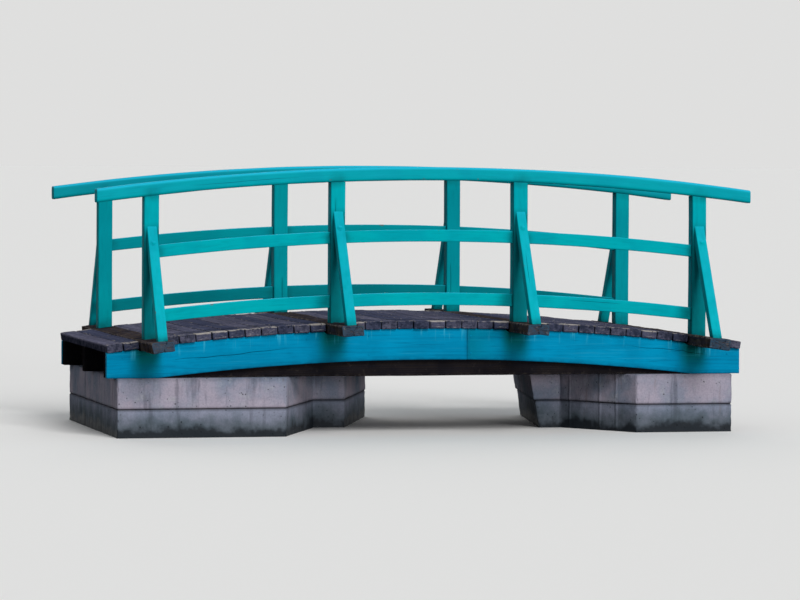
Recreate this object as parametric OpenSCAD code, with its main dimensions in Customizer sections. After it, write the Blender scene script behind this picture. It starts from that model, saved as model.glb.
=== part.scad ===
// Low-arched timber garden footbridge on two concrete abutments.
// Millimetres, +X along the bridge, +Y from the front railing to the rear one, +Z up.
// The origin is on the water line, under the middle of the bridge.
// Every arched piece follows one circle or a circle about the same centre. Each arc is drawn as
// short flats that begin and end between two boards, so boards, crossbeams and posts lie flat on it.

/* [Bridge] */
// Number of bays between posts
bays = 3; // [2:1:4]
// Spacing of the posts along the bridge, centre to centre
post_bay = 1150; // [950:10:1350]
// Spacing of the two railings across the bridge, centre to centre
railing_spacing = 1666; // [1300:2:2000]
// Radius of the arch at the top of the deck
arch_radius = 14500; // [12000:100:30000]
// Height of the deck's top above the water at mid-span
crown_height = 700; // [640:5:900]

/* [Abutments] */
// Height of the lower lift of concrete
lower_lift = 173; // [150:1:240]
// Height of the upper lift of concrete
upper_lift = 187; // [110:1:200]
// Distance from mid-span to the left abutment's front inner corner
opening_left = 360; // [300:5:600]
// Distance from mid-span to the top of the right abutment's front inner corner
opening_right = 780; // [500:5:900]
// Turn of the left abutment's inner face from square to the bridge, in degrees
left_skew = 20; // [0:1:25]
// Turn of the right abutment's inner face from square to the bridge, in degrees
right_skew = 10; // [0:1:25]
// Distance from the bridge's middle line forward to the left abutment's recessed front
left_front = 120; // [0:10:700]
// Distance from the bridge's middle line forward to the right abutment's recessed front
right_front = 350; // [0:10:700]
// Length of a recessed front, from the inner corner to the splayed wing
nose = 200; // [100:10:400]
// How far along the bridge a splayed wing runs before it reaches the full width
splay = 340; // [100:10:500]
// How far the foot of the right upper lift stands back from its top
upper_lean = 29; // [0:1:60]
// Step back from the right upper lift to the lower one
lift_step = 10; // [0:1:30]
// How far the foot of the right lower lift stands back from its top
lower_lean = 25; // [0:1:60]
// How far the abutments stand out past the fascias
abutment_margin = 34; // [10:1:80]
// How far the bearers reach past the outer end of an abutment
bearer_tail = 60; // [20:5:200]
// Chamfer along the joint between the two lifts
joint_chamfer = 7; // [2:1:12]
// Chamfer along the inner face's edges at the joint and the top
inner_chamfer = 10; // [2:1:15]

/* [Bearers] */
// Number of bearers side by side
bearer_count = 3; // [2:1:4]
// Thickness of a bearer
bearer_t = 75; // [50:1:100]

/* [Fascias] */
// Thickness of a fascia board
fascia_t = 40; // [25:1:60]
// Depth of a fascia board
fascia_depth = 192; // [120:1:200]
// Distance from mid-span to the butt joint of a fascia's two lengths
fascia_joint = 242; // [-400:1:400]
// How far a fascia's face stands back from the outer faces of the posts
fascia_setback = 12; // [0:1:30]

/* [Deck] */
// Thickness of a deck board
board_t = 48; // [30:1:60]
// Number of deck boards in each bay
boards_per_bay = 10; // [8:1:12]
// Number of deck boards past each end crossbeam
end_boards = 2; // [1:1:3]
// Gap between neighbouring boards
board_gap = 5; // [3:0.5:10]
// How far the boards reach past the fascias
board_overhang = 18; // [10:1:40]
// How much one board end may stand out past the next
board_uneven = 7; // [0:1:9]

/* [Crossbeams] */
// Width of a crossbeam along the bridge
crossbeam_w = 135; // [110:1:160]
// Thickness of a crossbeam, of which the boards' thickness stands above its seat
crossbeam_t = 64; // [62:1:90]
// How far a crossbeam reaches past the foot of a brace
crossbeam_end = 46; // [10:1:100]

/* [Railings] */
// Width of a square post
post_w = 90; // [70:1:105]
// Height of the handrail's top above the deck
handrail_top = 939; // [850:1:1100]
// Depth of the handrail
handrail_h = 82; // [60:1:110]
// Width of the handrail
handrail_w = 92; // [70:1:120]
// How far the handrail reaches past the centre of the end post
handrail_overhang = 335; // [270:5:400]
// Height of the middle rail's top above the deck
mid_rail_top = 556; // [400:1:650]
// Depth of the middle rail
mid_rail_h = 74; // [50:1:100]
// Height of the bottom rail's top above the deck
bottom_rail_top = 169; // [140:1:250]
// Depth of the bottom rail
bottom_rail_h = 76; // [50:1:100]
// Thickness of the middle and bottom rails
rail_t = 45; // [30:1:60]

/* [Braces] */
// Height above the deck at which a brace meets its post
brace_top = 680; // [450:5:780]
// Distance from a post's outer face to the outer edge of its brace's foot
brace_reach = 386; // [250:2:450]
// Width of a brace along the bridge
brace_w = 60; // [40:1:80]
// Depth of a brace, square to its length
brace_d = 60; // [40:1:80]

/* [Joinery] */
// Length of the tenons that join rails to posts
rail_tenon_len = 30; // [15:1:34]
// Shoulder above and below a rail tenon
rail_tenon_shoulder = 12; // [5:1:18]
// Thickness of a rail tenon
rail_tenon_t = 18; // [10:1:25]
// Width of the square stub tenons at a post's foot and head
stub_w = 40; // [25:1:50]
// Length of a stub tenon
stub_len = 30; // [15:1:40]

/* [Hidden] */
FRONT = -1;
REAR = 1;
LEFT = -1;
RIGHT = 1;
// Room past a piece for the solids that only cut it
spare = 300;
rail_paint = "#14A9AE";
fascia_paint = "#0A93B8";
board_brown = "#6F6A74";
beam_brown = "#4B4341";
concrete = "#8F8A96";

post_count = bays + 1;
seat_w = crossbeam_w + board_gap;
board_pitch = (post_bay - seat_w) / boards_per_bay;
board_w = board_pitch - board_gap;
end_post_x = post_bay * bays / 2;
deck_end = end_post_x + seat_w / 2 + end_boards * board_pitch;
handrail_end = end_post_x + handrail_overhang;
abutment_top = lower_lift + upper_lift;
abutment_end = deck_end - bearer_tail;
bed_radius = arch_radius - board_t;
post_face = railing_spacing / 2 + post_w / 2;
fascia_face = post_face - fascia_setback;
abutment_face = fascia_face + abutment_margin;
board_reach = fascia_face + board_overhang;
crossbeam_reach = post_face + brace_reach + crossbeam_end;
bearer_face = fascia_face - fascia_t;
bearer_step = (2 * bearer_face - bearer_t) / (bearer_count - 1);
handrail_foot_radius = arch_radius + handrail_top - handrail_h;

function post_x(i) = (i - 1) * post_bay - end_post_x;
// Places along the bridge where one board gives way to the next
edges = [
    for (n = [end_boards:-1:0]) -end_post_x - seat_w / 2 - n * board_pitch,
    for (i = [1:bays], n = [0:boards_per_bay]) post_x(i) + seat_w / 2 + n * board_pitch,
    for (n = [0:end_boards]) end_post_x + seat_w / 2 + n * board_pitch
];
// Number in that list of the first edge after post i
function edge_after_post(i) = end_boards + 1 + (i - 1) * (boards_per_bay + 1);
// Height of a circle of radius r about the arch's centre, at x
function arc_z(r, x) = sqrt(r * r - x * x) - arch_radius + crown_height;
// The edges between two places along the bridge, and the two places themselves
function stations(x0, x1) = concat(x0, [for (e = edges) if (e > x0 + 1 && e < x1 - 1) e], x1);
// Repeatable unevenness of a board's end, from -1 to 1
function wander(i, side) = sin(i * 137 + side * 61) * cos(i * 71 - side * 23);

// Extrudes an X-Z outline between two places across the bridge
module across(y0, y1) {
    translate([0, y1, 0]) rotate([90, 0, 0]) linear_extrude(y1 - y0) children();
}

// Extrudes a Y-Z outline between two places along the bridge
module along(x0, x1) {
    translate([x0, 0, 0]) rotate([90, 0, 90]) linear_extrude(x1 - x0) children();
}

// Sets its children on the flat of an arc between two places, with local Z square to the flat
module on_flat(r, x0, x1) {
    z0 = arc_z(r, x0);
    z1 = arc_z(r, x1);
    translate([(x0 + x1) / 2, 0, (z0 + z1) / 2])
        rotate([0, -atan2(z1 - z0, x1 - x0), 0])
            children();
}

module on_seat(r, i) {
    on_flat(r, post_x(i) - seat_w / 2, post_x(i) + seat_w / 2) children();
}

// Arched bar of a depth under radius r, from x0 to x1 along and y0 to y1 across the bridge
module arched_bar(r, depth, x0, x1, y0, y1) {
    xs = stations(x0, x1);
    upper = [for (x = xs) [x, arc_z(r, x)]];
    lower = [for (k = [len(xs) - 1:-1:0]) [xs[k], arc_z(r - depth, xs[k])]];
    across(y0, y1) polygon(concat(upper, lower));
}

// Everything below the top of the deck at post i
module under_deck(i) {
    on_seat(bed_radius, i)
        translate([-spare, -crossbeam_reach - spare, board_t - spare])
            cube([2 * spare, 2 * (crossbeam_reach + spare), spare]);
}

// Everything above the underside of the handrail at post i
module over_post(i) {
    on_seat(handrail_foot_radius, i)
        translate([-spare, -post_face - spare, 0])
            cube([2 * spare, 2 * (post_face + spare), spare]);
}

// Outline of one lift of an abutment, chamfered at its top and, if it has one below it, at its foot
function lift_outline(top, foot, back, z0, z1, chamfer, foot_chamfer) = concat(
    [[foot + foot_chamfer, z0], [back - foot_chamfer, z0]],
    foot_chamfer > 0 ? [[back, z0 + foot_chamfer]] : [],
    [[back, z1 - chamfer], [back - chamfer, z1], [top + chamfer, z1], [top, z1 - chamfer]],
    foot_chamfer > 0 ? [[foot, z0 + foot_chamfer]] : []
);

// Block between the two side faces of an abutment, from mid-span's far side to its outer end
module lift_block(z0, z1, foot_chamfer) {
    intersection() {
        across(-abutment_face, abutment_face)
            polygon(lift_outline(
                -abutment_end, -abutment_end, abutment_end, z0, z1, joint_chamfer, foot_chamfer
            ));
        along(-abutment_end, abutment_end)
            polygon(lift_outline(
                -abutment_face, -abutment_face, abutment_face, z0, z1, joint_chamfer, foot_chamfer
            ));
    }
}

// Everything in front of an abutment's recessed front and its splayed wing
module front_room(side, face_top, front) {
    depth = abutment_face - front;
    // The wing's line runs on past the front, so that no corner falls on it
    over = 1.5;
    translate([0, 0, -spare])
        linear_extrude(abutment_top + 2 * spare)
            polygon([
                [-side * abutment_end, -front],
                [side * (face_top + nose), -front],
                [side * (face_top + nose + over * splay), -front - over * depth],
                [-side * abutment_end, -front - over * depth]
            ]);
}

// One lift. Its inner face starts from face_top at the recessed front, leans back and turns by skew
module lift(side, opening, face_top, lean, skew, front, z0, z1, foot_chamfer) {
    far = 3 * abutment_end;
    inner_foot = foot_chamfer > 0 ? inner_chamfer : 0;
    outline = lift_outline(0, lean, far, z0, z1, inner_chamfer, inner_foot);
    color(concrete)
        difference() {
            intersection() {
                lift_block(z0, z1, foot_chamfer);
                translate([side * face_top, -front, 0])
                    rotate([0, 0, -skew])
                        across(-far, far) polygon([for (p = outline) [side * p[0], p[1]]]);
            }
            front_room(side, opening, front);
        }
}

module abutment_lower(side) {
    if (side == LEFT)
        lift(side, opening_left, opening_left, 0, left_skew, left_front, 0, lower_lift, 0);
    else
        lift(
            side, opening_right, opening_right + upper_lean + lift_step, lower_lean, right_skew,
            right_front, 0, lower_lift, 0
        );
}

module abutment_upper(side) {
    if (side == LEFT)
        lift(
            side, opening_left, opening_left, 0, left_skew,
            left_front, lower_lift, abutment_top, joint_chamfer
        );
    else
        lift(
            side, opening_right, opening_right, upper_lean, right_skew,
            right_front, lower_lift, abutment_top, joint_chamfer
        );
}

// Cambered beam: arched on top, level underneath, notched for the crossbeams
module bearer(i) {
    xs = stations(-deck_end, deck_end);
    y0 = -bearer_face + (i - 1) * bearer_step;
    color(beam_brown)
        difference() {
            across(y0, y0 + bearer_t)
                polygon(concat(
                    [for (x = xs) [x, arc_z(bed_radius, x)]],
                    [[deck_end, abutment_top], [-deck_end, abutment_top]]
                ));
            for (k = [1:post_count]) crossbeam_block(k);
        }
}

// One length of a fascia, trimmed level where it comes down to the abutment
module fascia(x0, x1, side) {
    y0 = side > 0 ? bearer_face : -fascia_face;
    color(fascia_paint)
        difference() {
            arched_bar(bed_radius, fascia_depth, x0, x1, y0, y0 + fascia_t);
            for (k = [1:post_count]) crossbeam_block(k);
            translate([-deck_end - spare, -fascia_face - spare, abutment_top - spare])
                cube([2 * (deck_end + spare), 2 * (fascia_face + spare), spare]);
        }
}

module crossbeam_block(i) {
    on_seat(bed_radius, i)
        translate([-crossbeam_w / 2, -crossbeam_reach, board_t - crossbeam_t])
            cube([crossbeam_w, 2 * crossbeam_reach, crossbeam_t]);
}

module crossbeam(i) {
    color(beam_brown)
        difference() {
            crossbeam_block(i);
            for (side = [FRONT, REAR]) foot_stub(i, side);
        }
}

// A number of deck boards side by side, the first of them from edge number first to the next
module deck_boards(first, count) {
    color(board_brown)
        for (k = [first:first + count - 1])
            on_flat(bed_radius, edges[k], edges[k + 1])
                board(k);
}

module board(k) {
    front = board_reach + board_uneven * wander(k, FRONT);
    rear = board_reach + board_uneven * wander(k, REAR);
    translate([-board_w / 2, -front, 0]) cube([board_w, front + rear, board_t]);
}

// Stub tenons of a post, each sunk a little into the post so that the two are one piece
module stub(i, side, z) {
    translate([post_x(i) - stub_w / 2, side * railing_spacing / 2 - stub_w / 2, z])
        cube([stub_w, stub_w, 2 * stub_len]);
}

module foot_stub(i, side) {
    stub(i, side, arc_z(arch_radius, post_x(i)) - stub_len);
}

module head_stub(i, side) {
    stub(i, side, arc_z(handrail_foot_radius, post_x(i)) - stub_len);
}

// Tenon of a rail past x in direction dir, for the rail whose top is at height top above the deck
module rail_tenon(x, dir, side, top, height) {
    z1 = arc_z(arch_radius + top, x) - rail_tenon_shoulder;
    h = height - 2 * rail_tenon_shoulder;
    translate([
        x + (dir > 0 ? 0 : -rail_tenon_len),
        side * railing_spacing / 2 - rail_tenon_t / 2,
        z1 - h
    ])
        cube([rail_tenon_len, rail_tenon_t, h]);
}

module rail_tenons_into(i, side, top, height) {
    if (i > 1) rail_tenon(post_x(i) - post_w / 2, RIGHT, side, top, height);
    if (i < post_count) rail_tenon(post_x(i) + post_w / 2, LEFT, side, top, height);
}

// Square post, cut to the slope of the deck at its foot and of the handrail at its head
module post(i, side) {
    foot = arc_z(arch_radius, post_x(i));
    head = arc_z(handrail_foot_radius, post_x(i));
    color(rail_paint)
        union() {
            difference() {
                translate([
                    post_x(i) - post_w / 2,
                    side * railing_spacing / 2 - post_w / 2,
                    foot - post_w
                ])
                    cube([post_w, post_w, head - foot + 2 * post_w]);
                under_deck(i);
                over_post(i);
                rail_tenons_into(i, side, mid_rail_top, mid_rail_h);
                rail_tenons_into(i, side, bottom_rail_top, bottom_rail_h);
            }
            foot_stub(i, side);
            head_stub(i, side);
        }
}

// Raking strut from the outer face of a post down to the projecting end of its crossbeam
module brace(i, side) {
    deck = arc_z(arch_radius, post_x(i));
    length = sqrt(brace_top * brace_top + brace_reach * brace_reach);
    drop = brace_d * length / brace_reach;
    // The blank runs on below the deck in line with the brace and is cut off on the crossbeam
    run_on = brace_reach / brace_top;
    low = crossbeam_t / 2;
    color(rail_paint)
        difference() {
            along(post_x(i) - brace_w / 2, post_x(i) + brace_w / 2)
                polygon([
                    [side * post_face, deck + brace_top],
                    [side * (post_face + brace_reach + low * run_on), deck - low],
                    [side * (post_face + brace_reach + (low - drop) * run_on), deck - low],
                    [side * post_face, deck + brace_top - drop]
                ]);
            under_deck(i);
        }
}

// Curved rail between each pair of posts, with a tenon at both ends
module rails(side, top, height) {
    mid_y = side * railing_spacing / 2;
    color(rail_paint)
        for (i = [1:bays]) {
            x0 = post_x(i) + post_w / 2;
            x1 = post_x(i + 1) - post_w / 2;
            arched_bar(arch_radius + top, height, x0, x1, mid_y - rail_t / 2, mid_y + rail_t / 2);
            rail_tenon(x0, LEFT, side, top, height);
            rail_tenon(x1, RIGHT, side, top, height);
        }
}

module handrail(side) {
    mid_y = side * railing_spacing / 2;
    color(rail_paint)
        difference() {
            arched_bar(
                arch_radius + handrail_top, handrail_h, -handrail_end, handrail_end,
                mid_y - handrail_w / 2, mid_y + handrail_w / 2
            );
            for (i = [1:post_count]) head_stub(i, side);
        }
}

abutment_lower(LEFT);  // abutment_left_lower
abutment_upper(LEFT);  // abutment_left_upper
abutment_lower(RIGHT);  // abutment_right_lower
abutment_upper(RIGHT);  // abutment_right_upper
for (i = [1:bearer_count])
    bearer(i);
fascia(-deck_end, fascia_joint, FRONT);  // fascia_front_left
fascia(fascia_joint, deck_end, FRONT);  // fascia_front_right
fascia(-deck_end, fascia_joint, REAR);  // fascia_rear_left
fascia(fascia_joint, deck_end, REAR);  // fascia_rear_right
for (i = [1:post_count])
    crossbeam(i);
deck_boards(0, end_boards);  // deck_boards_left_end
for (i = [1:bays])
    deck_boards(edge_after_post(i), boards_per_bay);
deck_boards(edge_after_post(post_count), end_boards);  // deck_boards_right_end
for (i = [1:post_count])
    post(i, FRONT);
for (i = [1:post_count])
    post(i, REAR);
for (i = [1:post_count])
    brace(i, FRONT);
for (i = [1:post_count])
    brace(i, REAR);
rails(FRONT, bottom_rail_top, bottom_rail_h);  // bottom_rail_front
rails(REAR, bottom_rail_top, bottom_rail_h);  // bottom_rail_rear
rails(FRONT, mid_rail_top, mid_rail_h);  // mid_rail_front
rails(REAR, mid_rail_top, mid_rail_h);  // mid_rail_rear
handrail(FRONT);  // handrail_front
handrail(REAR);  // handrail_rear
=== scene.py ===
"""Looks of an arched timber garden footbridge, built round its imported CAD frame.

Every timber is a rounded section carried along its own line, with eased arrises, drying splits and the
small unevenness of old work. Lengths are in metres: +X along the bridge, +Y to the rear, +Z up.
"""

import math

import bpy
import numpy as np
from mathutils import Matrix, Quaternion, Vector


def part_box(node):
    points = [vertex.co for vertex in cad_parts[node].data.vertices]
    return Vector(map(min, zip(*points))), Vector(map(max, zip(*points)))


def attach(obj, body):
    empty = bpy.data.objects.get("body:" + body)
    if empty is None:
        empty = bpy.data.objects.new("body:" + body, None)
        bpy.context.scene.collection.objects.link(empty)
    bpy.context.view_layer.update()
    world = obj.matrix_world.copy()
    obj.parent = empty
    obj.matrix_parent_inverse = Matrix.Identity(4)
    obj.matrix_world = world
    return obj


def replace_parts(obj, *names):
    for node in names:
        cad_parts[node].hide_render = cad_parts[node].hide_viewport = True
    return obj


bl_info = {
    "name": "Arched garden footbridge",
    "version": (1, 0, 0),
    "blender": (4, 5, 0),
    "location": "3D View > Sidebar > Footbridge",
    "description": "Painted timbers, bare boards and concrete abutments of a garden footbridge",
    "category": "Add Mesh",
}

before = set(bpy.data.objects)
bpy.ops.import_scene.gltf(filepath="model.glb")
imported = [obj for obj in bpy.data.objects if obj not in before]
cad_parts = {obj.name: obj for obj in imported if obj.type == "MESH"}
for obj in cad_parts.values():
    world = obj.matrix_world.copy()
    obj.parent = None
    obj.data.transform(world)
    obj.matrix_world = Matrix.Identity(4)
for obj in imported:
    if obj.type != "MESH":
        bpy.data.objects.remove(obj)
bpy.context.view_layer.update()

ARCH_RADIUS = 14.5  # at the top of the deck
CROWN = 0.700  # height of the deck at mid-span
BOARD_T = 0.048
BOARD_PITCH = 0.101
BOARD_HALF = (BOARD_PITCH - 0.005) / 2  # with 5 mm between two boards
SEAT = 0.140  # room between two bays of boards, for a crossbeam
BED_RADIUS = ARCH_RADIUS - BOARD_T
HANDRAIL_TOP = ARCH_RADIUS + 0.939
HANDRAIL_H = 0.082
HEAD_RADIUS = HANDRAIL_TOP - HANDRAIL_H  # at the heads of the posts
RAIL_T = 0.045
# Of each kind of rail: radius of its top, depth, and how much painted shade the rear ones take
RAILS = {"mid_rail": (ARCH_RADIUS + 0.556, 0.074, 0.5), "bottom_rail": (ARCH_RADIUS + 0.169, 0.076, 0.85)}
BRACE_TOP = 0.680
BRACE_REACH = 0.386
BRACE_HALF = 0.030
FASCIA_T = 0.040
FASCIA_DEPTH = 0.192
FASCIA_JOINT = 0.242
CROSSBEAM_HALF_W = 0.0675
CROSSBEAM_T = 0.064
NOTCH = 0.0165  # how deep a crossbeam is let into what carries it, with half a millimetre of room
BEARER_HALF_V = 0.14  # of its section, before that is fitted between the arch and its level foot
NAIL_LINES = (-0.7885, 0.0, 0.7885)  # middles of the three bearers
# The boards of each node, counted from the left; a crossbeam takes the number between two bays
BOARDS = {"left_end": range(2), "right_end": range(36, 38)}
BOARDS |= {"bay_1": range(3, 13), "bay_2": range(14, 24), "bay_3": range(25, 35)}
SIDES = {"front": -1, "rear": 1}
NOSE = 0.200  # length of an abutment's recessed front
SPLAY = 0.340  # how far along the bridge its splayed wing runs
# Of each abutment: side, turn of its inner face, how far forward its recessed front stands, and how far
# the foot of each lift stands back from its top
ABUTMENTS = {
    "left": (-1, math.radians(20), 0.120, {"lower": 0.0, "upper": 0.0}),
    "right": (1, math.radians(10), 0.350, {"lower": 0.025, "upper": 0.029}),
}
STEP = 0.010  # between the right abutment's lifts, at their joint
SHUTTER = 0.110  # width of the boards that the concrete was cast between
CHAMFER = 0.007  # of the concrete's level edges
HEAD_POINTS = 12  # round a nail's or a bolt's head
WAVES = 9  # that are added up where a surface is uneven
SOFT = {"interpolation_type": "SMOOTHSTEP"}

# Sun lamps: direction from the bridge, strength and how wide they look in degrees. The key is a wide patch
# of open sky in front and a little to the right; the low one is light that comes in level under the deck.
LAMPS = {
    "key": ((0.15, -0.85, 0.60), 2.15, 28),
    "low_fill": ((0.32, -0.94, 0.08), 1.15, 12),
    "rear_fill": ((0.10, 0.85, 0.50), 0.9, 50),
}
SKYLIGHT = (0.26, 0.27, 0.28, 1)
HORIZON = (0.738, 0.738, 0.733, 1)  # the floor as it renders far away
FLOOR_REACH = 400.0
CAMERA = (-6.258, -25.93, 1.742)  # as fitted to the photograph
AIM = (0.0265, 0.0, 0.7945)
ROLL = 0.256  # in degrees
LENS = 190  # in mm

POSTS = [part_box(f"post_front_{i}") for i in range(1, 5)]
POST_X = [(lo.x + hi.x) / 2 for lo, hi in POSTS]
POST_HALF = (POSTS[0][1].x - POSTS[0][0].x) / 2
RAILING_Y = -(POSTS[0][0].y + POSTS[0][1].y) / 2
POST_FACE = RAILING_Y + POST_HALF
HANDRAIL_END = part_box("handrail_front")[1].x
HANDRAIL_HALF_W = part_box("handrail_front")[1].y + RAILING_Y
CROSSBEAM_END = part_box("crossbeam_1")[1].y
DECK_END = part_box("bearer_1")[1].x
BED_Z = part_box("bearer_1")[0].z  # level top of the abutments
CAST_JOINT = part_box("abutment_left_lower")[1].z  # between their two lifts
FASCIA_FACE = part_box("fascia_rear_left")[1].y


def arc_z(radius, x):
    """Height of a circle of this radius about the arch's centre, at x."""
    return np.sqrt(radius * radius - x * x) - ARCH_RADIUS + CROWN


def linear(code):
    """sRGB hex colour turned to linear light, opaque."""
    parts = [int(code[i : i + 2], 16) / 255 for i in (1, 3, 5)]
    return (*[p / 12.92 if p <= 0.04045 else ((p + 0.055) / 1.055) ** 2.4 for p in parts], 1.0)


def fade(away, reach):
    """1 where away is 0 or less, falling evenly to 0 at this reach."""
    return np.clip(1 - away / reach, 0, 1)


def waves(points, size, seed):
    """Smooth unevenness: a sum of sine waves of about this length in random directions, mostly -1 to 1."""
    rng = np.random.default_rng(seed)
    heading = rng.normal(size=(WAVES, 3))
    heading /= np.linalg.norm(heading, axis=1)[:, None]
    heading *= 2 * math.pi / size * rng.uniform(0.6, 1.7, (WAVES, 1))
    phase = rng.uniform(0, 2 * math.pi, WAVES)
    total = np.zeros(points.shape[:-1])
    for h, p in zip(heading, phase):
        total += np.sin(points @ h + p)
    return total / math.sqrt(WAVES)


def stations(start, end, step, ease, extra):
    """Places along a timber: close together over the eased ends, and a step apart between them."""
    near = ease * np.array([0, 0.12, 0.35, 0.65, 1.0])
    count = max(2, round((end - start - 2 * ease) / step))
    body = np.linspace(start + ease, end - ease, count + 1)[1:-1]
    cut = np.array([e for x in extra for e in (x - 1e-4, x + 1e-4)])
    body = body[[not len(cut) or abs(cut - b).min() > step / 4 for b in body]]
    return np.sort(np.concatenate([start + near, body, cut, end - near]))


def section(run, half_u, half_v, ease, gap, splits, ends_ease):
    """Rounded rectangle at every place along a timber, as a grid of places by points round it.

    Each side runs between quarter circles of radius ease. A split (side, place from -1 to 1, start, end,
    depth, width) adds three points: its two lips, and its root sunk by the depth, which tapers at both
    ends. Over ends_ease at each end the whole outline draws in along a quarter circle.
    """
    near = fade(np.minimum(run - run[0], run[-1] - run), ends_ease)
    drawn_in = ends_ease * (1 - np.sqrt(1 - near**2))
    # Of each point: how far out and how far along its side, the same of its normal, side, arris and crack
    points = []
    for q in range(4):
        out, half = (half_u, half_v) if q % 2 == 0 else (half_v, half_u)
        flat = half - ease
        ts = np.linspace(-1, 1, max(1, round(2 * flat / gap)) + 1)[1:-1]
        # The outermost points keep 8 mm clear of the arris where there is room
        shy = 1 - min(0.45, 0.008 / flat)
        ts = np.unique(np.concatenate([ts[abs(ts) < shy - 0.02], [-shy, shy]]))
        mine = [s for s in splits if s[0] == q]
        columns = [(t, t, 0) for t in ts if all(abs(t - s[1]) > 0.09 + s[5] / flat for s in mine)]
        for _, middle, start, end, depth, width in mine:
            taper = 0.3 * (end - start)
            open_by = np.clip((run - start) / taper, 0, 1) * np.clip((end - run) / taper, 0, 1)
            open_by = np.sqrt(open_by)
            line = middle + 0.05 * np.sin(run * 9 + middle * 40) + 0.02 * np.sin(run * 31 + start * 7)
            lip = width / 2 / flat * open_by + 1e-4
            columns += [(middle - 1e-3, line - lip, 0), (middle, line, depth * open_by)]
            columns += [(middle + 1e-3, line + lip, 0)]
        for _, line, depth in sorted(columns, key=lambda c: c[0]):
            sunk = np.asarray(depth > 0) * 1.0
            points.append((out - drawn_in - depth, (flat - drawn_in) * line, 1, 0, q, 0, sunk))
        for angle in np.radians([0, 30, 60, 90]):
            x, y = math.cos(angle), math.sin(angle)
            points.append((out - drawn_in - ease + ease * x, flat - drawn_in + ease * y, x, y, q, 1, 0))
    x, y, nx, ny, q, arris, crack = (np.stack([c + 0.0 * run for c in column], 1) for column in zip(*points))
    # Each side is the first one after q quarter turns
    c, s = np.array([1, 0, -1, 0])[q.astype(int)], np.array([0, 1, 0, -1])[q.astype(int)]
    u, v, nu, nv = x * c - y * s, x * s + y * c, nx * c - ny * s, nx * s + ny * c
    return run[:, None] + 0 * u, u, v, nu, nv, arris, crack


def closed(count, round_by):
    """Faces of a tube of count outlines with round_by points each: quads along it, and at each end
    triangles to a middle point. The two middle points come after all the outlines."""
    index = np.arange(count * round_by).reshape(count, round_by)
    right = np.roll(index, -1, 1)
    quads = np.stack([index[:-1], right[:-1], right[1:], index[1:]], -1).reshape(-1, 4)
    tip = np.full(round_by, index.size)
    first = np.stack([right[0], index[0], tip], -1)
    return quads, np.concatenate([first, np.stack([index[-1], right[-1], tip + 1], -1)])


def carried(place, grid, seed, uneven=0.0, uneven_size=0.3, dish=0.0, pith=(0.0, 0.0), fields=None):
    """Closed skin of a section carried along a line, given by place(s, u, v) -> x, y, z.

    The last outline at each end is repeated smaller and smaller down to one middle point, so the ends
    are closed. uneven moves the skin along its own normal, dish roughens the ends, and each field is a
    number or a function of the points in space and of their s, u and v.
    """
    s, u, v, nu, nv, arris, crack = grid
    local = np.stack([s * 0.25, u, v], -1) + seed * 3.7
    swell = waves(local, uneven_size, seed + 5) + 0.4 * waves(local, uneven_size / 4, seed + 6)
    u, v = u + nu * uneven * swell, v + nv * uneven * swell
    ends = []
    # Each end is four smaller outlines, and an open split cuts up to 9 mm deeper into it
    for end, step in ((0, 1), (-1, -1)):
        share = np.array([0.12, 0.4, 0.68, 0.9])[::step, None]
        cu, cv = u[end] * share, v[end] * share
        rough = abs(dish * waves(np.stack([cu, cv, 0 * cu + end], -1), 0.03, seed + 8))
        sunk = s[end] + step * (rough + crack[end] * 0.009 * share**0.5)
        ends.append(np.stack([sunk, cu, cv, arris[end] * (share > 0.85), crack[end] * share], -1))
    skin = np.concatenate([ends[0], np.stack([s, u, v, arris, crack], -1), ends[1]])
    tips = [[skin[end, :, 0].mean(), 0, 0, 0, 0] for end in (0, -1)]
    s, u, v, arris, crack = np.concatenate([skin.reshape(-1, 5), tips]).T
    co = np.stack(place(s, u, v), -1)
    quads, tris = closed(*skin.shape[:2])
    corner = co[quads]
    turns = [np.cross(corner[:, k], corner[:, k + 1]) for k in (1, 2)]
    if sum(np.einsum("ij,ij->i", corner[:, 0], turn).sum() for turn in turns) < 0:
        quads, tris = quads[:, ::-1], tris[:, ::-1]
    grain = np.stack([s + seed * 1.37, u - pith[0], v - pith[1]], -1)
    values = {"arris": arris, "crack": crack}
    for name, value in (fields or {}).items():
        values[name] = (value(co, s, u, v) if callable(value) else value) + 0 * s
    return {"co": co, "quads": quads, "tris": tris, "grain": grain, "values": values}


def timber(
    place, start, end, half, seed, splits, *, ease, gap, step=0.022, ends_ease=0.002, notches=(), **looks
):
    """Skin of one timber: a rounded section of these half sizes, carried along its line."""
    edges = [x + d for x in notches for d in (-CROSSBEAM_HALF_W, CROSSBEAM_HALF_W)]
    run = stations(start, end, step, ends_ease, edges)
    return carried(place, section(run, *half, ease, gap, splits, ends_ease), seed, **looks)


def linked(name, data):
    """New object in the scene, with this mesh, light or camera."""
    obj = bpy.data.objects.new(name, data)
    bpy.context.scene.collection.objects.link(obj)
    return obj


def turn(obj, way, axis, roll=0.0):
    """Turns an object so that this axis of its own points the given way, rolled about it in degrees."""
    rolled = Quaternion((0, 0, 1), math.radians(roll))
    obj.rotation_mode = "QUATERNION"
    obj.rotation_quaternion = Vector(way).to_track_quat(axis, "Y") @ rolled


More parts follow.
